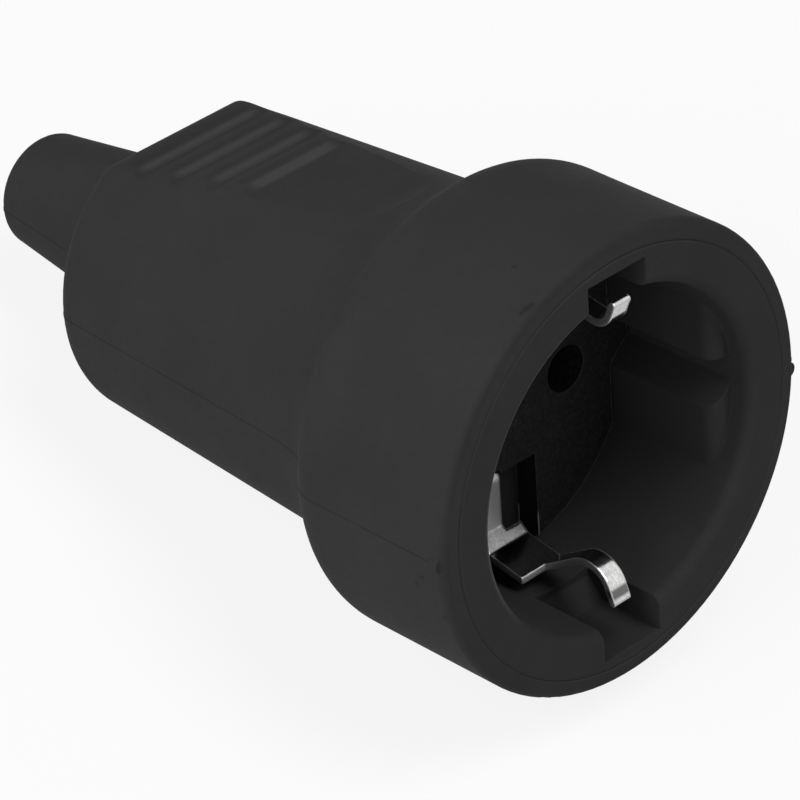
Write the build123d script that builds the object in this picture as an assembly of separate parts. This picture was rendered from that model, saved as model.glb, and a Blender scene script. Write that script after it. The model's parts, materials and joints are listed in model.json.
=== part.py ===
"""In-line power socket, side-earthed: a one-piece rubber hood over a contact carrier.

Millimetres. Everything is drawn with the rim of the hood at X = 0 and the axis along X at Y = Z = 0. The
plug mouth looks towards +X, the earth clips are above and below (Z) and the two pins lie side by side (Y).
Then the whole is laid down as it comes to rest on a table, the middle of its underside at the origin.
"""

import os
from math import asin, atan2, degrees, hypot

from build123d import *

# The hood outside
COLLAR_R = 26.6          # largest radius, just behind the rim
COLLAR_REAR_R = 26.45    # the collar narrows a little towards the rear
COLLAR_LENGTH = 19.6     # rim to the start of the shoulder's rounding
RIM_EDGE_R = 1.0         # outer rounding of the rim
RIM_LINE_R = 24.35       # fine moulded line round the rim's face
RIM_LINE_WIDTH = 0.36
RIM_LINE_DEPTH = 0.18
RIM_DROP = 0.3           # the face falls back by this from that line to the rounding
SHOULDER_MIDDLE = (-25.1, 22.6)
BODY_FRONT_X = -32.9     # where the shoulder has run into the body
BODY_REAR_X = -68.75
BODY_FRONT_R = 20.3
BODY_REAR_R = 18.0
BODY_EDGE_R = 3.4        # rounding of the body's rear edge
NOZZLE_FRONT_R = 9.3
NOZZLE_REAR_R = 6.7
NOZZLE_REAR_X = -90.6
NOZZLE_EDGE_R = 2.0
PARTING_HEIGHT = 0.05    # fine ridge where the two mould halves met
PARTING_WIDTH = 0.24
NIB_R = 0.9              # what is left of the mould's gates, beside the rim
NIB_HEIGHT = 0.4
NIB_LENGTH = 1.1
NIB_Z = (0.0, -1.4)      # at -Y and at +Y

# The ribbed grip facet, above and below
GRIP_REAR_Z = 15.0
GRIP_SLOPE = 0.155       # rise of the facet towards the front
TOOTH_TOPS = (-63.2, -58.4, -53.3)
TOOTH_DEPTH = 0.4
TOOTH_FACE = 1.0         # length of the steep face of a tooth along X
TOOTH_EDGE_R = 0.9       # rounding of its upper and lower edge
RAMP_TOP = -48.8         # the last step is a longer ramp
RAMP_LENGTH = 2.0
RAMP_DEPTH = 0.2
RAMP_EDGE_R = 2.0
FRONT_SLOPE = 0.12       # of the plain flat in front of the ramp
RUN_OUT_X = -33.5        # where that flat turns up into the shoulder
RUN_OUT_END = (-27.0, 22.6)

# The plug recess
RECESS_R = 19.5
RECESS_DEPTH = 17.7
MOUTH_LEAD_IN = 1.3
PAD_Y = 16.7             # flat pads on both sides narrow the recess to this
PAD_GAP = 3.0            # half the gap between the upper and lower pad
PAD_SETBACK = 2.9        # rim to the rounded front of a pad
PAD_FRONT_R = 1.8
NOTCH_HALF_WIDTH = 4.25
NOTCH_Z = 22.85
NOTCH_LENGTH = 10.4
NOTCH_STEP_Z = 20.4
NOTCH_SLOPE = 2.0        # length of the slope at the end of a notch

# The hollow behind the recess
FLANGE_R = 21.3
FLANGE_THICKNESS = 3.0
STAGE_HEIGHT = 0.5       # the carrier's face stands into the recess by this
STAGE_GAP = 0.15         # between that face and the recess wall
STAGE_EDGE = 0.3         # chamfer round it
JOINT_Z = -0.5           # height of the joint between the carrier and its cover
POCKET_Y = 4.3           # far side of the pocket beside each leg of the earth strip
POCKET_Z = 8.1
POCKET_DEPTH = 2.9
CARRIER_R = 15.3
CARRIER_REAR_X = -47.0
TAIL_LENGTH = 13.0
TAIL_END_GAP = 1.0       # behind the tail
HOLLOW_CLEARANCE = 0.15
HOLLOW_TAPER = 3.0
TAIL_HOLLOW_R = 13.6
CABLE_R = 4.5            # bore of the nozzle
CABLE_BORE_LENGTH = 24.4
CRADLE_R = 4.3           # the cradle and the saddle pinch the cable
SEAM_TURN = 20           # degrees; keeps the seam of a rod off the planes of symmetry

# Contacts
PIN_Y = 9.5              # half the 19 mm spacing of the pins
PIN_HOLE_R = 2.75
PIN_HOLE_DEPTH = 6.0
SLEEVE_R = 3.0
SLEEVE_BORE_R = 2.4
SLEEVE_LENGTH = 12.5
SLEEVE_SLOT = 0.9
SLEEVE_FLOOR = 1.2       # solid end of the bore
SLEEVE_ROOT = 3.5        # the slot stops this far from the rear
SHANK_R = 1.9
SHANK_LENGTH = 2.5
RING_R = 3.4
RING_WIDTH = 3.0
RING_SETBACK = 1.5       # sleeve front to ring
RING_OPENING = 1.6
FIT_GAP = 0.1            # all round between a metal piece and its pocket

# Terminals
BLOCK_LENGTH = 8.6
BLOCK_HALF = 3.2
BLOCK_EDGE = 0.4
WIRE_R = 1.7
WIRE_DEPTH = 5.6
SCREW_R = 1.5
SCREW_HEAD_R = 2.6
SCREW_HEAD_HEIGHT = 2.0
SCREW_SLOT = 0.7
SCREW_FROM_REAR = 3.0    # screw axis to the block's rear face
SCREW_TIP_Z = 0.6
SCREW_HEAD_GAP = 0.6     # the head stands this far off the block
HEAD_EDGE_R = 0.3
RIVET_DEPTH = 2.0        # of the rivet in the earth block

# Earth strip
STRIP = 0.8              # sheet thickness
LEG_Y = (-4.7, -1.1)
PLATE_Y = (-4.7, 1.2)
SLOT_Z = 7.7             # where a leg comes out of the carrier's face
PLATE_FRONT_X = -11.4
BACK_PLATE_X = -22.5     # front face of the strip's back plate
BACK_PLATE_HALF = 3.4
BEND_R = 0.75            # of the sheet's middle
BEND_Z = 14.6            # top of the leg
PLATE_REAR = (-16.3, 16.3)
PLATE_FRONT_Z = 17.3
LOWER_CREST = (-3.6, 12.6)    # corner that the rounded crest is bent round
LOWER_CREST_R = 3.2
LOWER_TIP = (-1.6, 17.7)
LOWER_FINGER_Y = (-1.2, 1.2)
UPPER_CREST = (-1.8, 15.75)   # the upper finger is bent further out, and a little to one side
UPPER_CREST_R = 2.2
UPPER_TIP = (-0.55, 18.8)
UPPER_FINGER_Y = (-0.4, 2.0)
RIVET_R = 1.2
RIVET_HEAD_R = 2.0
RIVET_HEAD = 0.8

# Fasteners of the carrier
DISC_DEPTH = 2.2         # back plate to the joint between carrier and cover
COVER_SCREW = (-35.2, 4.1)
COVER_SCREW_SEAT = 7.5
COVER_SCREW_END = 1.0    # short of the bottom of its hole
HEAD_R = 2.3
HEAD_HEIGHT = 1.8
CLAMP_Y = 7.0
CLAMP_LENGTH = 6.0
TAIL_HALF = 9.8
TAIL_BOTTOM = 9.2
TAIL_EDGE_R = 2.0
SADDLE_GAP = 0.8         # half the open gap between tail and saddle
SADDLE_TOP = 6.4
SADDLE_EDGE_R = 2.4
SADDLE_SEAT = 1.2        # depth of the screw seats
CLAMP_SCREW_END = 0.4    # short of the tail's underside
NUT_ACROSS = 5.5
NUT_HEIGHT = 2.4
FAST_R = 1.25

FACE_X = -RECESS_DEPTH
FLANGE_X = FACE_X - STAGE_HEIGHT
FLANGE_REAR_X = FLANGE_X - FLANGE_THICKNESS
TAIL_REAR_X = CARRIER_REAR_X - TAIL_LENGTH
CLAMP_X = CARRIER_REAR_X - TAIL_LENGTH / 2
COVER_FRONT_X = BACK_PLATE_X - DISC_DEPTH
SLEEVE_FRONT_X = FACE_X - PIN_HOLE_DEPTH
SLEEVE_REAR_X = SLEEVE_FRONT_X - SLEEVE_LENGTH
EARTH_BLOCK_X = BACK_PLATE_X - STRIP


def box(x0, x1, y0, y1, z0, z1):
    """A box between two corners."""
    size = (x1 - x0, y1 - y0, z1 - z0)
    return Pos(x0, y0, z0) * Box(*size, align=(Align.MIN, Align.MIN, Align.MIN))


def rod(radius, x0, x1, y=0.0, z=0.0):
    """A cylinder along X."""
    return Pos(x0, y, z) * Rot(SEAM_TURN, 90, 0) * Cylinder(
        radius, x1 - x0, align=(Align.CENTER, Align.CENTER, Align.MIN)
    )


def post(radius, z0, z1, x, y):
    """A cylinder along Z."""
    return Pos(x, y, z0) * Cylinder(radius, z1 - z0, align=(Align.CENTER, Align.CENTER, Align.MIN))


def turned(lines):
    """Revolves a profile drawn in X and radius about the axis."""
    face = make_face(lines)
    return revolve(Plane.XZ * face, axis=Axis.X)


def body_radius(x):
    """Radius of the tapered body at x."""
    share = (x - BODY_REAR_X) / (BODY_FRONT_X - BODY_REAR_X)
    return BODY_REAR_R + share * (BODY_FRONT_R - BODY_REAR_R)


def grip_z(x):
    """Height of the grip facet at x."""
    return GRIP_REAR_Z + GRIP_SLOPE * (x - BODY_REAR_X)


def hood_outside(grow=0.0):
    """The turned outside, every radius larger by grow: nozzle, body, shoulder and collar."""
    shoulder = (-COLLAR_LENGTH, COLLAR_REAR_R + grow)
    nozzle_r = NOZZLE_REAR_R + grow
    edge_x = BODY_REAR_X + BODY_EDGE_R
    edge_r = body_radius(edge_x) + grow
    rim_r = COLLAR_R + grow
    half_line = RIM_LINE_WIDTH / 2
    lines = Line((NOZZLE_REAR_X, 0), (NOZZLE_REAR_X, nozzle_r - NOZZLE_EDGE_R))
    lines += RadiusArc(
        (NOZZLE_REAR_X, nozzle_r - NOZZLE_EDGE_R), (NOZZLE_REAR_X + NOZZLE_EDGE_R, nozzle_r), NOZZLE_EDGE_R
    )
    lines += Polyline(
        (NOZZLE_REAR_X + NOZZLE_EDGE_R, nozzle_r),
        (BODY_REAR_X, NOZZLE_FRONT_R + grow),
        (BODY_REAR_X, edge_r - BODY_EDGE_R),
    )
    lines += RadiusArc((BODY_REAR_X, edge_r - BODY_EDGE_R), (edge_x, edge_r), BODY_EDGE_R)
    lines += Line((edge_x, edge_r), (BODY_FRONT_X, BODY_FRONT_R + grow))
    lines += Spline(
        (BODY_FRONT_X, BODY_FRONT_R + grow),
        (SHOULDER_MIDDLE[0], SHOULDER_MIDDLE[1] + grow),
        shoulder,
        tangents=((1, 0.07), (1, 0.04)),
    )
    lines += Line(shoulder, (-RIM_DROP - RIM_EDGE_R, rim_r))
    lines += RadiusArc((-RIM_DROP - RIM_EDGE_R, rim_r), (-RIM_DROP, rim_r - RIM_EDGE_R), RIM_EDGE_R)
    lines += Polyline(
        (-RIM_DROP, rim_r - RIM_EDGE_R),
        (0, RIM_LINE_R + half_line),
        (-RIM_LINE_DEPTH, RIM_LINE_R),
        (0, RIM_LINE_R - half_line),
        (0, 0),
        (NOZZLE_REAR_X, 0),
    )
    return turned(lines)


def parting_ridge():
    """The fine ridge along both sides, with the nibs beside the rim."""
    half = PARTING_WIDTH / 2
    far = COLLAR_R + 1
    ridge = hood_outside(PARTING_HEIGHT) & box(NOZZLE_REAR_X, -RIM_DROP, -far, far, -half, half)
    for side, z in zip((-1, 1), NIB_Z):
        x1 = -RIM_DROP - RIM_EDGE_R / 2
        ridge += rod(NIB_R, x1 - NIB_LENGTH, x1, side * (COLLAR_R + NIB_HEIGHT - NIB_R), z)
    return ridge


def grip_profile():
    """Edge of the facet in X and Z from its rear edge to the shoulder: teeth, ramp and plain flat."""
    edge = BODY_REAR_X + BODY_EDGE_R
    lines = Line((edge, grip_z(edge)), (TOOTH_TOPS[0], grip_z(TOOTH_TOPS[0])))
    tops = TOOTH_TOPS + (RAMP_TOP,)
    for top, after in zip(tops, tops[1:]):
        foot = (top + TOOTH_FACE, grip_z(top) - TOOTH_DEPTH)
        lines += Line((top, grip_z(top)), foot)
        lines += TangentArc((after, grip_z(after)), foot, tangent=(-1, -GRIP_SLOPE))
    foot = (RAMP_TOP + RAMP_LENGTH, grip_z(RAMP_TOP) - RAMP_DEPTH)
    front = (RUN_OUT_X, foot[1] + FRONT_SLOPE * (RUN_OUT_X - foot[0]))
    lines += Polyline((RAMP_TOP, grip_z(RAMP_TOP)), foot, front)
    return lines + TangentArc(front, RUN_OUT_END, tangent=(1, FRONT_SLOPE))


def grip_cutter():
    """What the upper grip facet takes off the body, its teeth and ramp with rounded edges."""
    far = COLLAR_R + 1
    rear = BODY_REAR_X - 1
    edge = BODY_REAR_X + BODY_EDGE_R
    low = grip_z(edge) - BODY_EDGE_R
    lines = Polyline(RUN_OUT_END, (RUN_OUT_END[0], far), (rear, far), (rear, low), (BODY_REAR_X, low))
    lines += RadiusArc((BODY_REAR_X, low), (edge, grip_z(edge)), BODY_EDGE_R)
    cutter = extrude(Plane.XZ * make_face(lines + grip_profile()), amount=COLLAR_R, both=True)
    across = cutter.edges().filter_by(Axis.Y)
    teeth = across.filter_by_position(Axis.X, TOOTH_TOPS[0], TOOTH_TOPS[-1] + TOOTH_FACE)
    cutter = fillet(teeth, TOOTH_EDGE_R)
    ramp = cutter.edges().filter_by(Axis.Y).filter_by_position(Axis.X, RAMP_TOP, RAMP_TOP + RAMP_LENGTH)
    return fillet(ramp, RAMP_EDGE_R)


def pad_section(side, level, grow=0.0):
    """Outline of one flat pad on the recess wall; the lower ones have a slanted upper side."""
    outer = RECESS_R + 1
    slant = outer - PAD_Y if level < 0 else 0
    inner_y = side * (PAD_Y - grow)
    edge_z = level * (PAD_GAP - grow)
    return Plane.YZ * make_face(Polyline(
        (inner_y, edge_z),
        (side * outer, edge_z + slant),
        (side * outer, level * RECESS_R),
        (inner_y, level * RECESS_R),
        close=True,
    ))


def recess_pad(side, level):
    """One flat pad with its rounded front."""
    length = RECESS_DEPTH + STAGE_HEIGHT - PAD_SETBACK
    pad = Pos(-PAD_SETBACK - length, 0, 0) * extrude(pad_section(side, level), amount=length)
    front = pad.edges().filter_by(Axis.Z).group_by(Axis.X)[-1]
    return fillet(front.sort_by(Axis.Y)[0 if side > 0 else -1], PAD_FRONT_R)


def recess_hollow():
    """The hollow that the plug goes into."""
    hollow = rod(RECESS_R, FLANGE_X, 1)
    for side in (-1, 1):
        for level in (-1, 1):
            hollow -= recess_pad(side, level)
    return hollow


def clip_notches():
    """The two notches in the rim that leave room for the earth clips."""
    profile = Polyline(
        (1, 0),
        (1, NOTCH_Z),
        (-NOTCH_LENGTH + NOTCH_SLOPE, NOTCH_Z),
        (-NOTCH_LENGTH, NOTCH_STEP_Z),
        (-NOTCH_LENGTH, 0),
        close=True,
    )
    notch = extrude(Plane.XZ * make_face(profile), amount=NOTCH_HALF_WIDTH, both=True)
    return notch + mirror(notch, about=Plane.XY)


def mouth_lead_in():
    """The soft inner edge of the mouth."""
    lines = Line((-MOUTH_LEAD_IN, RECESS_R), (-MOUTH_LEAD_IN, 0))
    lines += Line((-MOUTH_LEAD_IN, 0), (0.5, 0))
    lines += Line((0.5, 0), (0.5, RECESS_R + MOUTH_LEAD_IN))
    lines += Line((0.5, RECESS_R + MOUTH_LEAD_IN), (0, RECESS_R + MOUTH_LEAD_IN))
    lines += RadiusArc((0, RECESS_R + MOUTH_LEAD_IN), (-MOUTH_LEAD_IN, RECESS_R), MOUTH_LEAD_IN)
    return turned(lines)


def inner_hollow():
    """The space for the carrier, its tail and the cable."""
    gap = HOLLOW_CLEARANCE
    taper_x = CARRIER_REAR_X - gap
    rear_x = TAIL_REAR_X - TAIL_END_GAP
    lines = Polyline(
        (FLANGE_X, 0),
        (FLANGE_X, FLANGE_R),
        (FLANGE_REAR_X, FLANGE_R),
        (FLANGE_REAR_X, CARRIER_R + gap),
        (taper_x, CARRIER_R + gap),
        (taper_x - HOLLOW_TAPER, TAIL_HOLLOW_R),
        (rear_x, TAIL_HOLLOW_R),
        (NOZZLE_REAR_X + CABLE_BORE_LENGTH, CABLE_R),
        (NOZZLE_REAR_X - 1, CABLE_R),
        (NOZZLE_REAR_X - 1, 0),
        close=True,
    )
    return turned(lines)


def rubber_hood():
    """The one-piece hood."""
    hood = hood_outside() + parting_ridge()
    cutter = grip_cutter()
    hood -= cutter
    hood -= mirror(cutter, about=Plane.XY)
    hood -= recess_hollow()
    hood -= clip_notches()
    hood -= mouth_lead_in()
    hood -= inner_hollow()
    return hood


def strip_line(crest, crest_r, tip):
    """Middle line of one half of the earth strip, from the back plate to the tip, in X and Z."""
    half = STRIP / 2
    back = BACK_PLATE_X - half
    front = FACE_X - half
    path = [(back, 0.0), (back, SLOT_Z + half), (front, SLOT_Z + half), (front, BEND_Z)]
    path += [PLATE_REAR, (PLATE_FRONT_X, PLATE_FRONT_Z), crest, tip]
    bends = [BEND_R] * (len(path) - 3) + [crest_r]
    return FilletPolyline(*path, radius=bends)


def strip_half(crest, crest_r, tip, finger_y):
    """One half of the strip above the axis."""
    line = strip_line(crest, crest_r, tip)
    section = make_face(offset(line, amount=STRIP / 2, side=Side.BOTH, closed=True))
    width = max(PLATE_Y[1], BACK_PLATE_HALF)
    sheet = Pos(0, PLATE_Y[0], 0) * extrude(Plane.XZ * section, amount=-(width - PLATE_Y[0]))
    far = COLLAR_R
    plate_x = FACE_X + BEND_R - STRIP / 3
    keep = box(BACK_PLATE_X - 2, plate_x, *LEG_Y, 0, far)
    keep += box(plate_x, PLATE_FRONT_X, *PLATE_Y, 0, far)
    keep += box(PLATE_FRONT_X, 0, *finger_y, 0, far)
    keep += box(BACK_PLATE_X - 2, BACK_PLATE_X, PLATE_Y[0], BACK_PLATE_HALF, 0, BACK_PLATE_HALF)
    return sheet & keep


def earth_strip():
    """The whole strip: a back plate, two legs, two plates and two fingers from one sheet."""
    upper = strip_half(UPPER_CREST, UPPER_CREST_R, UPPER_TIP, UPPER_FINGER_Y)
    lower = strip_half(LOWER_CREST, LOWER_CREST_R, LOWER_TIP, LOWER_FINGER_Y)
    lower = mirror(lower, about=Plane.XY)
    strip = upper + lower
    strip -= rod(RIVET_R, BACK_PLATE_X - 2, BACK_PLATE_X + 1)
    return strip


def contact_sleeve(y):
    """A split sleeve that grips a pin, with a shank into its terminal block."""
    sleeve = rod(SLEEVE_R, SLEEVE_REAR_X, SLEEVE_FRONT_X, y)
    sleeve += rod(SHANK_R, SLEEVE_REAR_X - SHANK_LENGTH, SLEEVE_REAR_X, y)
    sleeve -= rod(SLEEVE_BORE_R, SLEEVE_REAR_X + SLEEVE_FLOOR, SLEEVE_FRONT_X + 1, y)
    half = SLEEVE_SLOT / 2
    slot = box(SLEEVE_REAR_X + SLEEVE_ROOT, SLEEVE_FRONT_X + 1, y - half, y + half, -SLEEVE_R, SLEEVE_R)
    return sleeve - slot


def sleeve_ring(y):
    """The open spring ring round a sleeve's split end."""
    x0 = SLEEVE_FRONT_X - RING_SETBACK - RING_WIDTH
    half = RING_OPENING / 2
    ring = rod(RING_R, x0, x0 + RING_WIDTH, y) - rod(SLEEVE_R, x0 - 1, x0 + RING_WIDTH + 1, y)
    return ring - box(x0 - 1, x0 + RING_WIDTH + 1, y - half, y + half, 0, RING_R + 1)


def terminal_block(front_x, y, front_hole_r, front_hole_depth):
    """A block with a front hole, a wire hole from the rear and a screw hole from above."""
    rear_x = front_x - BLOCK_LENGTH
    screw_x = rear_x + SCREW_FROM_REAR
    block = box(rear_x, front_x, y - BLOCK_HALF, y + BLOCK_HALF, -BLOCK_HALF, BLOCK_HALF)
    block = chamfer(block.edges().filter_by(Axis.X), BLOCK_EDGE)
    block -= rod(front_hole_r, front_x - front_hole_depth, front_x + 1, y)
    block -= rod(WIRE_R, rear_x - 1, rear_x + WIRE_DEPTH, y)
    block -= post(SCREW_R, 0, BLOCK_HALF + 1, screw_x, y)
    return block


def slotted_screw(x, y, tip_z, seat_z, radius, head_r, head_height):
    """A cheese-head screw pointing down, its head on seat_z."""
    screw = post(radius, tip_z, seat_z, x, y)
    head = post(head_r, seat_z, seat_z + head_height, x, y)
    head = fillet(head.edges().group_by(Axis.Z)[-1], HEAD_EDGE_R)
    top = seat_z + head_height
    slot = box(x - head_r, x + head_r, y - SCREW_SLOT / 2, y + SCREW_SLOT / 2, top - head_height / 2, top + 1)
    return screw + (head - slot)


def terminal_screw(front_x, y):
    """The screw of the terminal block that starts at front_x."""
    x = front_x - BLOCK_LENGTH + SCREW_FROM_REAR
    seat = BLOCK_HALF + SCREW_HEAD_GAP
    return slotted_screw(x, y, SCREW_TIP_Z, seat, SCREW_R, SCREW_HEAD_R, SCREW_HEAD_HEIGHT)


def earth_rivet():
    """Joins the strip's back plate and the earth terminal block."""
    shank = rod(RIVET_R, EARTH_BLOCK_X - RIVET_DEPTH, BACK_PLATE_X)
    return shank + rod(RIVET_HEAD_R, BACK_PLATE_X, BACK_PLATE_X + RIVET_HEAD)


def block_pocket(front_x, y):
    """Room for a terminal block, the head of its screw and its wire."""
    gap = FIT_GAP
    half = BLOCK_HALF + gap
    rear_x = front_x - BLOCK_LENGTH
    screw_x = rear_x + SCREW_FROM_REAR
    room = box(rear_x - gap, front_x, y - half, y + half, -half, half)
    room += post(SCREW_HEAD_R + 2 * gap, 0, CARRIER_R + 1, screw_x, y)
    room += rod(WIRE_R + 2 * gap, CARRIER_REAR_X - 1, rear_x, y)
    return room


def contact_space():
    """Everything that the contacts take out of the carrier and its cover."""
    gap = FIT_GAP
    space = block_pocket(EARTH_BLOCK_X, 0)
    for y in (-PIN_Y, PIN_Y):
        space += block_pocket(SLEEVE_REAR_X, y)
        space += rod(RING_R + gap, SLEEVE_REAR_X - gap, SLEEVE_FRONT_X, y)
        space += rod(PIN_HOLE_R, SLEEVE_FRONT_X - 1, FACE_X + 1, y)
    room = BACK_PLATE_HALF + gap
    leg_top = SLOT_Z + STRIP + gap
    back, front = BACK_PLATE_X - STRIP - gap, BACK_PLATE_X + gap
    space += box(back, front, LEG_Y[0] - gap, LEG_Y[1] + gap, -leg_top, leg_top)
    space += box(back, front, LEG_Y[0] - gap, room, -room, room)
    for z0, z1 in ((SLOT_Z - gap, leg_top), (-leg_top, -SLOT_Z + gap)):
        space += box(back, FACE_X + 1, LEG_Y[0] - gap, LEG_Y[1] + gap, z0, z1)
    space += rod(RIVET_HEAD_R + gap, BACK_PLATE_X, BACK_PLATE_X + RIVET_HEAD + gap)
    return space


def face_channels():
    """The channels in the carrier's face that the legs of the earth strip lie in, each with a pocket beside."""
    floor = FACE_X - STRIP - FIT_GAP
    side = LEG_Y[1] + FIT_GAP
    upper = box(floor, FACE_X + 1, LEG_Y[0] - FIT_GAP, side, SLOT_Z - FIT_GAP, FLANGE_R + 1)
    upper += box(FACE_X - POCKET_DEPTH, FACE_X + 1, side, POCKET_Y, POCKET_Z, FLANGE_R + 1)
    return upper + mirror(upper, about=Plane.XY)


def carrier_stage():
    """The chamfered face that fills the end of the recess, pads and all."""
    stage = rod(RECESS_R - STAGE_GAP, FLANGE_X, FACE_X)
    for side in (-1, 1):
        for level in (-1, 1):
            pad = extrude(pad_section(side, level, STAGE_GAP), amount=2 * STAGE_HEIGHT)
            stage -= Pos(FLANGE_X, 0, 0) * pad
    return chamfer(stage.faces().sort_by(Axis.X)[-1].edges(), STAGE_EDGE)


def contact_carrier():
    """Face, flange, lower half of the body and the tail with its cable cradle."""
    body = carrier_stage() + rod(FLANGE_R, FLANGE_REAR_X, FLANGE_X)
    body += rod(CARRIER_R, COVER_FRONT_X, FLANGE_REAR_X)
    lower = rod(CARRIER_R, CARRIER_REAR_X, COVER_FRONT_X)
    body += lower - box(CARRIER_REAR_X, COVER_FRONT_X, -CARRIER_R, CARRIER_R, JOINT_Z, CARRIER_R)
    tail = box(TAIL_REAR_X, CARRIER_REAR_X, -TAIL_HALF, TAIL_HALF, -TAIL_BOTTOM, -SADDLE_GAP)
    body += fillet(tail.edges().filter_by(Axis.X).group_by(Axis.Z)[0], TAIL_EDGE_R)
    body -= rod(CRADLE_R, TAIL_REAR_X - 1, CARRIER_REAR_X)
    body -= contact_space()
    body -= face_channels()
    for y in (-CLAMP_Y, CLAMP_Y):
        body -= post(FAST_R, -TAIL_BOTTOM - 1, 0, CLAMP_X, y)
        body -= clamp_nut(y, NUT_ACROSS + 2 * FIT_GAP, -TAIL_BOTTOM - 1, -TAIL_BOTTOM + NUT_HEIGHT)
    for y in (-COVER_SCREW[1], COVER_SCREW[1]):
        body -= post(FAST_R, -COVER_SCREW_SEAT, 1, COVER_SCREW[0], y)
    return body


def terminal_cover():
    """The upper half of the carrier's body, over the contacts."""
    front_x = COVER_FRONT_X - FIT_GAP
    cover = rod(CARRIER_R, CARRIER_REAR_X, front_x)
    cover -= box(CARRIER_REAR_X, front_x, -CARRIER_R, CARRIER_R, -CARRIER_R, JOINT_Z)
    cover -= contact_space()
    for y in (-COVER_SCREW[1], COVER_SCREW[1]):
        cover -= post(FAST_R, -1, COVER_SCREW_SEAT, COVER_SCREW[0], y)
        cover -= post(HEAD_R + FIT_GAP, COVER_SCREW_SEAT, CARRIER_R + 1, COVER_SCREW[0], y)
    return cover


def cover_screws():
    """Two screws that hold the cover down."""
    x, y = COVER_SCREW
    seat = COVER_SCREW_SEAT
    tip = -seat + COVER_SCREW_END
    screws = [slotted_screw(x, side, tip, seat, FAST_R, HEAD_R, HEAD_HEIGHT) for side in (-y, y)]
    return Compound(screws)


def cable_saddle():
    """The bridge that clamps the cable against the cradle."""
    x0, x1 = CLAMP_X - CLAMP_LENGTH / 2, CLAMP_X + CLAMP_LENGTH / 2
    saddle = box(x0, x1, -TAIL_HALF, TAIL_HALF, SADDLE_GAP, SADDLE_TOP)
    saddle = fillet(saddle.edges().filter_by(Axis.X).group_by(Axis.Z)[-1], SADDLE_EDGE_R)
    saddle -= rod(CRADLE_R, x0 - 1, x1 + 1)
    for y in (-CLAMP_Y, CLAMP_Y):
        saddle -= post(FAST_R, 0, SADDLE_TOP + 1, CLAMP_X, y)
        saddle -= post(HEAD_R + FIT_GAP, SADDLE_TOP - SADDLE_SEAT, SADDLE_TOP + 1, CLAMP_X, y)
    return saddle


def clamp_screws():
    """Two screws through the saddle into the nuts."""
    seat = SADDLE_TOP - SADDLE_SEAT
    tip = -TAIL_BOTTOM + CLAMP_SCREW_END
    sides = (-CLAMP_Y, CLAMP_Y)
    screws = [slotted_screw(CLAMP_X, y, tip, seat, FAST_R, HEAD_R, HEAD_HEIGHT) for y in sides]
    return Compound(screws)


def clamp_nut(y, across, z0, z1):
    """A hexagon prism on a clamp screw's axis."""
    face = RegularPolygon(across / 2, 6, major_radius=False)
    return Pos(CLAMP_X, y, z0) * extrude(face, amount=z1 - z0)


def clamp_nuts():
    """Two nuts in their pockets under the tail."""
    nuts = []
    for y in (-CLAMP_Y, CLAMP_Y):
        nut = clamp_nut(y, NUT_ACROSS, -TAIL_BOTTOM, -TAIL_BOTTOM + NUT_HEIGHT)
        nuts.append(nut - post(FAST_R, -TAIL_BOTTOM - 1, 0, CLAMP_X, y))
    return Compound(nuts)


def build():
    """All pieces by name, the rim at X = 0."""
    return {
        "rubber_hood": rubber_hood(),
        "contact_carrier": contact_carrier(),
        "terminal_cover": terminal_cover(),
        "earth_strip": earth_strip(),
        "earth_terminal_block": terminal_block(EARTH_BLOCK_X, 0, RIVET_R, RIVET_DEPTH),
        "earth_terminal_screw": terminal_screw(EARTH_BLOCK_X, 0),
        "earth_rivet": earth_rivet(),
        "left_contact_sleeve": contact_sleeve(-PIN_Y),
        "right_contact_sleeve": contact_sleeve(PIN_Y),
        "left_sleeve_ring": sleeve_ring(-PIN_Y),
        "right_sleeve_ring": sleeve_ring(PIN_Y),
        "left_terminal_block": terminal_block(SLEEVE_REAR_X, -PIN_Y, SHANK_R, SHANK_LENGTH),
        "right_terminal_block": terminal_block(SLEEVE_REAR_X, PIN_Y, SHANK_R, SHANK_LENGTH),
        "left_terminal_screw": terminal_screw(SLEEVE_REAR_X, -PIN_Y),
        "right_terminal_screw": terminal_screw(SLEEVE_REAR_X, PIN_Y),
        "cover_screws": cover_screws(),
        "cable_saddle": cable_saddle(),
        "clamp_screws": clamp_screws(),
        "clamp_nuts": clamp_nuts(),
    }


def resting_tilt():
    """Angle of the axis in degrees when it lies on the collar's rear edge and the lower grip's rear edge."""
    edge_x = BODY_REAR_X + BODY_EDGE_R
    run = -COLLAR_LENGTH - edge_x
    rise = COLLAR_REAR_R - (grip_z(edge_x) - BODY_EDGE_R)
    return degrees(atan2(rise, run) - asin(BODY_EDGE_R / hypot(run, rise)))


def resting_place(hood):
    """Tilts the mouth up to that angle and puts the middle of the underside at the origin."""
    tilt = Rot(0, -resting_tilt(), 0)
    bounds = (tilt * hood).bounding_box()
    return Pos(-bounds.center().X, -bounds.center().Y, -bounds.min.Z) * tilt


pieces = build()
place = resting_place(pieces["rubber_hood"])
os.makedirs("parts", exist_ok=True)
for name, piece in pieces.items():
    placed = place * piece
    placed.label = name
    export_step(placed, "parts/" + name + ".step")
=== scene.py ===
"""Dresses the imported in-line power socket: materials, studio light, floor and the photograph's camera."""

import json
import math

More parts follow.
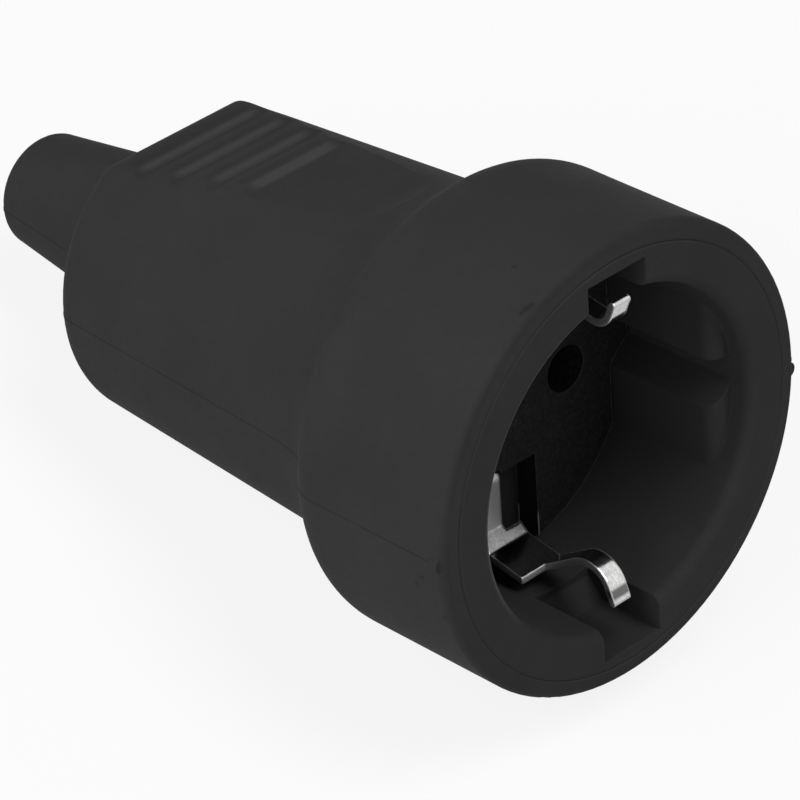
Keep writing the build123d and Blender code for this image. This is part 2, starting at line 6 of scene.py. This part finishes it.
import bpy
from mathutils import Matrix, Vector

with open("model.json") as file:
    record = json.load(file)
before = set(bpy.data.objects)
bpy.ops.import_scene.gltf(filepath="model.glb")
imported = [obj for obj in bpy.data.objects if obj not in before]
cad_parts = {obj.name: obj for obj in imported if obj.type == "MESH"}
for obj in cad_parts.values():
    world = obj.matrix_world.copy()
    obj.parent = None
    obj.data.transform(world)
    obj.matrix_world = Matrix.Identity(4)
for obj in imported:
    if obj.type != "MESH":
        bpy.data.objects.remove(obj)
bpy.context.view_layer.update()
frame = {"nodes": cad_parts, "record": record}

scene = bpy.context.scene
scene.view_settings.view_transform = "Standard"

MM = 0.001
WHITE = (1.0, 1.0, 1.0, 1.0)

# The socket's own frame inside the row frame: the middle of the mouth, and the axis that rises towards it.
MOUTH = Vector((0.041825, 0.0, 0.0303612))
TILT = math.radians(13.316853)
AXIS = Vector((math.cos(TILT), 0.0, math.sin(TILT)))
SIDE = Vector((0.0, 1.0, 0.0))
OVER = Vector((-math.sin(TILT), 0.0, math.cos(TILT)))


def turned(x, y, z):
    """A direction given in the socket's own frame."""
    return AXIS * x + SIDE * y + OVER * z


def at(x, y, z):
    """A point given in the socket's own frame, in millimetres, as metres in the row frame."""
    return MOUTH + turned(x, y, z) * MM


# Camera, with its angles in the socket's own frame and its lengths in metres
VIEW_AZIMUTH = math.radians(-42.85114)
VIEW_ELEVATION = math.radians(31.61051)
VIEW_ROLL = math.radians(-3.76581)
VIEW_DISTANCE = 0.646111
VIEW_RIGHT = -0.0233037
VIEW_UP = 0.0064909
FOCAL_PIXELS = 6238.634
FRAME_PIXELS = 800
SENSOR_MM = 36.0
NEAREST = 0.05
FARTHEST = 20.0


def add_camera():
    """Places the photograph's camera, counted from the middle of the mouth."""
    level = math.cos(VIEW_ELEVATION)
    back = Vector((level * math.cos(VIEW_AZIMUTH), level * math.sin(VIEW_AZIMUTH), math.sin(VIEW_ELEVATION)))
    right = Vector((0, 0, 1)).cross(back).normalized()
    up = back.cross(right)
    cosine = math.cos(VIEW_ROLL)
    sine = math.sin(VIEW_ROLL)
    right, up = cosine * right + sine * up, cosine * up - sine * right
    back, right, up = turned(*back), turned(*right), turned(*up)
    data = bpy.data.cameras.new("camera")
    data.sensor_width = SENSOR_MM
    data.lens = FOCAL_PIXELS * SENSOR_MM / FRAME_PIXELS
    data.clip_start = NEAREST
    data.clip_end = FARTHEST
    camera = bpy.data.objects.new("camera", data)
    scene.collection.objects.link(camera)
    place = MOUTH + VIEW_RIGHT * right + VIEW_UP * up + VIEW_DISTANCE * back
    matrix = camera.matrix_world.copy()
    for row in range(3):
        matrix[row] = (right[row], up[row], back[row], place[row])
    camera.matrix_world = matrix
    scene.camera = camera


# Node trees. A Mix node's colour sockets share their names with others, so they are found by number.
MIX_FIRST = 6
MIX_SECOND = 7
MIX_RESULT = 2


class Graph:
    """Short calls for building the node tree of its owner, a material or the world."""

    def __init__(self, owner):
        owner.use_nodes = True
        self.owner = owner
        self.tree = owner.node_tree
        self.surface = self.tree.get_output_node("ALL").inputs["Surface"]
        self.shader = self.surface.links[0].from_node

    def node(self, kind, **values):
        """A new node; keys are attributes, or input names with spaces written as _."""
        new = self.tree.nodes.new("ShaderNode" + kind)
        for key, value in values.items():
            if hasattr(new, key):
                setattr(new, key, value)
            else:
                self.put(new.inputs[key.replace("_", " ")], value)
        return new

    def put(self, socket, value):
        """Links a socket or sets a plain value."""
        if isinstance(value, bpy.types.NodeSocket):
            self.tree.links.new(value, socket)
        else:
            socket.default_value = value

    def set(self, **values):
        """Sets or links the inputs of the shader that the tree started with."""
        for key, value in values.items():
            self.put(self.shader.inputs[key.replace("_", " ")], value)

    def step(self, kind, operation, first, second):
        """The outputs of one Math or VectorMath node."""
        new = self.node(kind, operation=operation)
        self.put(new.inputs[0], first)
        self.put(new.inputs[1], second)
        return new.outputs

    def math(self, operation, first, second=0.0):
        """One step with numbers."""
        return self.step("Math", operation, first, second)["Value"]

    def times(self, first, *others):
        """The product of several values."""
        for other in others:
            first = self.math("MULTIPLY", first, other)
        return first

    def most(self, first, *others):
        """The greatest of several values."""
        for other in others:
            first = self.math("MAXIMUM", first, other)
        return first

    def ramp(self, value, from_low, from_high, to_low=0.0, to_high=1.0):
        """Linear change of a value's range, clamped."""
        limits = {"From_Min": from_low, "From_Max": from_high, "To_Min": to_low, "To_Max": to_high}
        return self.node("MapRange", clamp=True, Value=value, **limits).outputs["Result"]

    def below(self, value, limit, soft):
        """A mask that is 1 up to the limit and fades out over soft."""
        return self.ramp(value, limit, limit + soft, 1.0, 0.0)

    def band(self, value, middle, half, soft):
        """A mask that is 1 where the value is within half of the middle."""
        return self.below(self.math("ABSOLUTE", self.math("SUBTRACT", value, middle)), half, soft)

    def point(self):
        """The point being shaded, in metres in the row frame."""
        return self.node("TexCoord").outputs["Object"]

    def along(self, direction):
        """How far the point lies from the middle of the mouth along a direction, in mm."""
        away = self.step("VectorMath", "SUBTRACT", self.point(), MOUTH)["Vector"]
        return self.step("VectorMath", "DOT_PRODUCT", away, direction / MM)["Value"]

    def from_axis(self):
        """Distance of the point from the socket's axis, in mm."""
        y = self.along(SIDE)
        z = self.along(OVER)
        return self.math("SQRT", self.math("ADD", self.times(y, y), self.times(z, z)))

    def near(self, place, radius_mm, soft_mm):
        """A mask that is 1 within the radius of a place."""
        distance = self.step("VectorMath", "DISTANCE", self.point(), place)["Value"]
        return self.below(distance, radius_mm * MM, soft_mm * MM)

    def facing(self, direction):
        """How squarely the surface faces a direction, 1 being head on."""
        normal = self.node("NewGeometry").outputs["True Normal"]
        return self.step("VectorMath", "DOT_PRODUCT", direction, normal)["Value"]

    def edges(self, radius_mm):
        """A normal that rounds every edge by the radius, and a mask that is 1 there."""
        soft = self.node("Bevel", samples=6, Radius=radius_mm * MM).outputs["Normal"]
        return soft, self.ramp(self.facing(soft), 0.98, 0.85)

    def noise(self, size_mm, detail=2.0, roughness=0.5, point=None):
        """Noise whose features are about size_mm."""
        if point is None:
            point = self.point()
        scale = 1.0 / (size_mm * MM)
        new = self.node("TexNoise", Vector=point, Scale=scale, Detail=detail, Roughness=roughness)
        return new.outputs["Fac"]

    def spots(self, size_mm, reach):
        """A mask that is 1 within a reach of scattered points, the reach being a share of size_mm."""
        cells = self.node("TexVoronoi", Vector=self.point(), Scale=1.0 / (size_mm * MM), Randomness=1.0)
        return self.below(cells.outputs["Distance"], reach, 0.04)

    def mix(self, share, first, second):
        """The first colour, with a share of the second."""
        new = self.node("Mix", data_type="RGBA", Factor=share)
        self.put(new.inputs[MIX_FIRST], first)
        self.put(new.inputs[MIX_SECOND], second)
        return new.outputs[MIX_RESULT]

    def paint(self, colour, tone, mask, share):
        """A colour with a share of a tone over it where the mask is 1."""
        return self.mix(self.times(mask, share), colour, tone)

    def bump(self, height, depth_mm, normal):
        """Adds to a normal the bump of a 0 to 1 height that stands for depth_mm."""
        new = self.node("Bump", Strength=1.0, Distance=depth_mm * MM, Height=height, Normal=normal)
        return new.outputs["Normal"]

    def show_white(self, white, share):
        """Puts a share of a white shader over the tree's own, for the camera and for reflections only."""
        rays = self.node("LightPath").outputs
        seen = self.most(rays["Is Camera Ray"], rays["Is Glossy Ray"], rays["Is Transmission Ray"])
        blend = self.node("MixShader")
        self.put(blend.inputs[0], self.times(seen, share))
        self.put(blend.inputs[1], self.shader.outputs[0])
        self.put(blend.inputs[2], white.outputs[0])
        self.put(self.surface, blend.outputs[0])


def new_material(name):
    """A graph for a new material."""
    return Graph(bpy.data.materials.new(name))


def grey(value, warm=0.0):
    """A colour near grey; warm above 0 shifts it to red and yellow."""
    return (value * (1 + warm), value, value * (1 - warm), 1.0)


def darker(colour, share):
    """A colour at a share of its strength."""
    return tuple(channel * share for channel in colour[:3]) + (1.0,)


# Places on the rubber hood, in the socket's own frame and in mm
TOOTH_FACES = (-62.9, -58.1, -53.0)
RAMP_FACE = -47.95
# How far behind the steep face of a tooth or of the ramp the middle of its tread lies
TOOTH_TREAD = 1.5
RAMP_TREAD = 1.9
# Half the width that the marked ribs would have at the mouth, and how much it narrows for each mm towards it
FACET_HALF_AT_MOUTH = -3.0
FACET_NARROWING = 0.17
LIP_R = 19.9
LIP_X = -0.4
LIP_NONE_Y = -2.0
LIP_FULL_Y = -9.0
LIP_NONE_Z = -12.0
LIP_FULL_Z = -2.0
RIM_LINE_R = 24.35
RIM_LINE_HALF = 0.16
SCUFF_SOFT = 0.35
# The place and radius of each scuff
SCUFFS = (
    (at(-1.25, -12.6, 23.4), 0.10),
    (at(-1.1, -12.0, 23.7), 0.20),
    (at(-0.95, -11.4, 24.0), 0.10),
    (at(-6.1, -8.5, 25.1), 0.05),
    (at(-3.5, -26.4, -2.4), 0.08),
    (at(-4.5, -26.3, -3.6), 0.05),
    (at(-1.3, -25.6, -6.8), 0.08),
    (at(-2.1, -23.1, -13.1), 0.10),
)

# Places on the contact carrier and the earth strip, likewise
POCKET_HALF = 4.4
POCKET_TOP = -8.2
POCKET_FRONT = -18.1
OUTLINE_R = 16.0
OUTLINE_FULL_R = 16.6
LEG_SHADED_X = -15.5
LEG_LIT_X = -12.5
TIP_SHADE_Z = -16.7
TIP_BACK_X = -3.0

# The brushing is drawn out about eight times along the row's X
BRUSHING_SCALE = (0.12, 1.0, 1.0)


def rib_masks(g):
    """Two masks on the grip facets: a painted highlight on each rib's steep front, and painted shade on the
    tread behind it.
    """
    x = g.along(AXIS)
    rib_highlights = [g.band(x, RAMP_FACE, half=0.5, soft=0.5)]
    tread_shade = [g.band(x, RAMP_FACE - RAMP_TREAD, half=0.3, soft=0.7)]
    for face in TOOTH_FACES:
        rib_highlights.append(g.band(x, face, half=0.05, soft=0.7))
        tread_shade.append(g.band(x, face - TOOTH_TREAD, half=0.3, soft=0.7))
    level = g.ramp(g.math("ABSOLUTE", g.facing(OVER)), 0.90, 0.93)
    reach = g.math("ADD", g.math("ABSOLUTE", g.along(SIDE)), g.times(x, FACET_NARROWING))
    facet = g.times(level, g.below(reach, FACET_HALF_AT_MOUTH, soft=1.5))
    return g.times(g.most(*rib_highlights), facet), g.times(g.most(*tread_shade), facet)


def mouth_lip_highlight(g):
    """A mask for a painted highlight on the rounding of the mouth, on its -Y side, which fades out below the
    axis.
    """
    ring = g.band(g.from_axis(), LIP_R, half=0.25, soft=0.3)
    front = g.band(g.along(AXIS), LIP_X, half=0.5, soft=0.2)
    beside = g.ramp(g.along(SIDE), LIP_NONE_Y, LIP_FULL_Y)
    above = g.ramp(g.along(OVER), LIP_NONE_Z, LIP_FULL_Z)
    return g.times(ring, front, beside, above)


def rim_groove_light(g):
    """A mask on the fine groove in the rim, where painted light lifts the groove's shade."""
    ring = g.band(g.from_axis(), RIM_LINE_R, RIM_LINE_HALF, soft=0.06)
    return g.times(ring, g.band(g.along(AXIS), 0.0, half=1.0, soft=0.1))


def rubber_material():
    """Matt black moulded rubber: fine grain, faint cloudiness, specks and scuffs, with painted highlights on
    its edges, the ribs' steep fronts and the mouth's lip, painted light in the rim's groove and painted
    shade behind the ribs' fronts.
    """
    g = new_material("black_rubber")
    cloud = g.noise(9.0, detail=3.0, roughness=0.6)
    fine = g.noise(0.9, detail=4.0, roughness=0.65)
    grain = g.noise(0.16, detail=3.0, roughness=0.6)
    waves = g.noise(5.0)
    soft, edge = g.edges(0.3)
    rib_highlights, tread_shade = rib_masks(g)
    colour = g.mix(g.ramp(cloud, 0.35, 0.65), grey(0.030, warm=-0.01), grey(0.034, warm=-0.01))
    colour = g.mix(g.ramp(fine, 0.3, 0.7, to_high=0.5), colour, grey(0.028))
    colour = g.paint(colour, grey(0.036, warm=0.02), g.spots(2.6, 0.055), share=0.5)
    # Painted shade on each rib's tread, and a painted highlight on its steep front.
    colour = g.paint(colour, grey(0.024), tread_shade, share=0.6)
    colour = g.paint(colour, grey(0.052), rib_highlights, share=0.9)
    # A painted highlight along the lip of the mouth.
    colour = g.paint(colour, grey(0.10), mouth_lip_highlight(g), share=0.7)
    # Painted light that lightens the shade in the rim's fine groove.
    colour = g.paint(colour, grey(0.045), rim_groove_light(g), share=0.6)
    for place, radius in SCUFFS:
        colour = g.paint(colour, grey(0.008), g.near(place, radius, SCUFF_SOFT), share=0.45)
    # A painted highlight along every edge.
    colour = g.paint(colour, grey(0.042), edge, share=0.35)
    normal = g.bump(waves, 0.02, g.bump(grain, 0.006, soft))
    g.set(Base_Color=colour, Roughness=g.ramp(fine, 0.2, 0.8, 0.58, 0.68), Normal=normal, IOR=1.06)
    return g.owner


def leg_pocket(g):
    """A mask on the pocket beside the earth strip's lower leg."""
    low = g.below(g.along(OVER), POCKET_TOP, soft=0.2)
    deep = g.below(g.along(AXIS), POCKET_FRONT, soft=0.2)
    return g.times(g.band(g.along(SIDE), 0.0, POCKET_HALF, soft=0.1), low, deep)


def carrier_material():
    """Matt black moulded plastic, faintly speckled, lighter in the pocket beside the earth strip's lower
    leg, with a painted highlight round the edge of its face.
    """
    g = new_material("carrier_black")
    fine = g.noise(0.5, detail=4.0, roughness=0.7)
    grain = g.noise(0.2, detail=3.0, roughness=0.6)
    soft, edge = g.edges(0.25)
    outline_highlight = g.times(edge, g.ramp(g.from_axis(), OUTLINE_R, OUTLINE_FULL_R, to_low=0.06))
    colour = g.mix(g.ramp(fine, 0.40, 0.62), grey(0.006), grey(0.017))
    colour = g.paint(colour, grey(0.045), g.spots(1.3, 0.07), share=0.6)
    colour = g.mix(leg_pocket(g), colour, grey(0.02))
    # A painted highlight round the edge of the carrier's face.
    colour = g.mix(outline_highlight, colour, grey(0.55))
    normal = g.bump(grain, 0.008, soft)
    g.set(Base_Color=colour, Roughness=g.ramp(fine, 0.2, 0.8, 0.5, 0.65), Normal=normal, IOR=1.2)
    return g.owner


def metal_material(name, colour, smooth, rough, grain_mm, depth_mm, deep=0.0):
    """Metal with faint brushing along the row's X, slight stains and duller sides and front, as if sheared.

    Its roughness runs from smooth to rough, and deep is how strongly it is shaded far inside the mouth. A
    band of painted shade lies across the end of the earth strip's finger.
    """
    g = new_material(name)
    stretched = g.node("Mapping", Vector=g.point(), Scale=BRUSHING_SCALE).outputs["Vector"]
    lines = g.noise(grain_mm, detail=3.0, point=stretched)
    stain = g.noise(1.4, detail=3.0, roughness=0.6)
    soft, edge = g.edges(0.35)
    sides = g.ramp(g.math("ABSOLUTE", g.facing(SIDE)), 0.85, 0.95)
    sheared = g.most(sides, g.ramp(g.facing(AXIS), 0.9, 0.97))
    # Painted shade in a band across the end of the earth strip's finger.
    tip_shade = g.times(g.band(g.along(OVER), TIP_SHADE_Z, half=0.35, soft=0.3), g.math("SUBTRACT", 1.0, edge))
    tip_shade = g.times(tip_shade, g.ramp(g.along(AXIS), TIP_BACK_X, TIP_BACK_X + 0.5))
    dull = darker(colour, 0.5)
    shade = darker(colour, 0.12)
    plate = g.mix(g.ramp(stain, 0.4, 0.7, to_high=0.45), colour, dull)
    plate = g.mix(g.ramp(g.along(AXIS), LEG_SHADED_X, LEG_LIT_X, deep, 0.0), plate, shade)
    plate = g.mix(g.ramp(lines, 0.4, 0.65, to_high=0.5), plate, dull)
    plate = g.paint(plate, dull, sheared, share=0.72)
    plate = g.paint(plate, shade, tip_shade, share=0.9)
    roughness = g.most(g.ramp(stain, 0.3, 0.7, smooth, rough), g.times(edge, 0.5), g.times(sheared, 0.45))
    g.set(Base_Color=plate, Metallic=1.0, Roughness=roughness, Normal=g.bump(lines, depth_mm, soft))
    return g.owner


def nickel_material():
    """Bright nickel plate, for the earth strip, with its legs in shade deep in the mouth."""
    colour = (0.78, 0.78, 0.775, 1.0)
    return metal_material(
        "nickel_plate", colour, smooth=0.08, rough=0.20, grain_mm=0.25, depth_mm=0.003, deep=0.75
    )


def brass_material():
    """Bare brass, for sleeves, blocks and the rivet."""
    colour = (0.78, 0.60, 0.30, 1.0)
    return metal_material("brass", colour, smooth=0.22, rough=0.38, grain_mm=0.2, depth_mm=0.004)


def steel_material():
    """Zinc plated steel, for screws, nuts and rings."""
    colour = (0.62, 0.63, 0.64, 1.0)
    return metal_material("zinc_steel", colour, smooth=0.25, rough=0.40, grain_mm=0.2, depth_mm=0.004)


MATERIALS = {
    "black_rubber": rubber_material(),
    "carrier_black": carrier_material(),
    "nickel_plate": nickel_material(),
    "brass": brass_material(),
    "zinc_steel": steel_material(),
}

for part in frame["record"]["subparts"]:
    for slot in frame["nodes"][part["node"]].material_slots:
        slot.material = MATERIALS[part["material_slot"]]


# Floor and light, in metres and watts
FLOOR_HALF = 6.0
FLOOR_Z = -0.0002
FLOOR_WHITE = 0.85
FILL_STRENGTH = 0.12
LAMP_DISTANCE = 1.2
LAMP_TARGET = at(-35, 0, 0)


def add_floor():
    """A plain pale floor that shows mostly white to the camera and keeps a faint shadow of the socket."""
    mesh = bpy.data.meshes.new("floor")
    corners = [(x * FLOOR_HALF, y * FLOOR_HALF, FLOOR_Z) for x, y in ((-1, -1), (1, -1), (1, 1), (-1, 1))]
    mesh.from_pydata(corners, [], [(0, 1, 2, 3)])
    floor = bpy.data.objects.new("floor", mesh)
    scene.collection.objects.link(floor)
    g = new_material("floor")
    g.set(Base_Color=g.mix(g.noise(900.0), grey(0.80), grey(0.82)), Roughness=0.9, Specular_IOR_Level=0.1)
    g.show_white(g.node("Emission", Color=WHITE, Strength=1.0), FLOOR_WHITE)
    mesh.materials.append(g.owner)


def add_world():
    """Even fill light; the camera and the reflections see white where the floor ends."""
    world = bpy.data.worlds.new("world")
    scene.world = world
    g = Graph(world)
    g.set(Color=WHITE, Strength=FILL_STRENGTH)
    g.show_white(g.node("Background", Color=WHITE, Strength=1.0), 1.0)


def add_lamp(name, direction, size, power):
    """A square soft box that looks at the socket from a direction given in the socket's own frame."""
    data = bpy.data.lights.new(name, "AREA")
    data.shape = "SQUARE"
    data.size = size
    data.energy = power
    lamp = bpy.data.objects.new(name, data)
    scene.collection.objects.link(lamp)
    back = turned(*direction)
    lamp.location = LAMP_TARGET + back.normalized() * LAMP_DISTANCE
    lamp.rotation_mode = "QUATERNION"
    lamp.rotation_quaternion = back.to_track_quat("Z", "Y")


add_camera()
add_floor()
add_world()
add_lamp("key", (-0.15, -1.0, 0.75), size=0.8, power=6.6)
add_lamp("side", (0.8, -1.0, 0.4), size=1.0, power=0.8)
add_lamp("left", (0.3, -1.0, 0.3), size=0.8, power=4.6)
add_lamp("top", (0.5, 0.2, 1.0), size=0.6, power=5.6)
add_lamp("front", (0.8, 0.2, 0.8), size=0.6, power=2.8)
add_lamp("rear", (-1.0, -0.6, 0.5), size=0.8, power=1.2)
add_lamp("right", (-0.1, 0.6, 0.8), size=0.5, power=0.4)
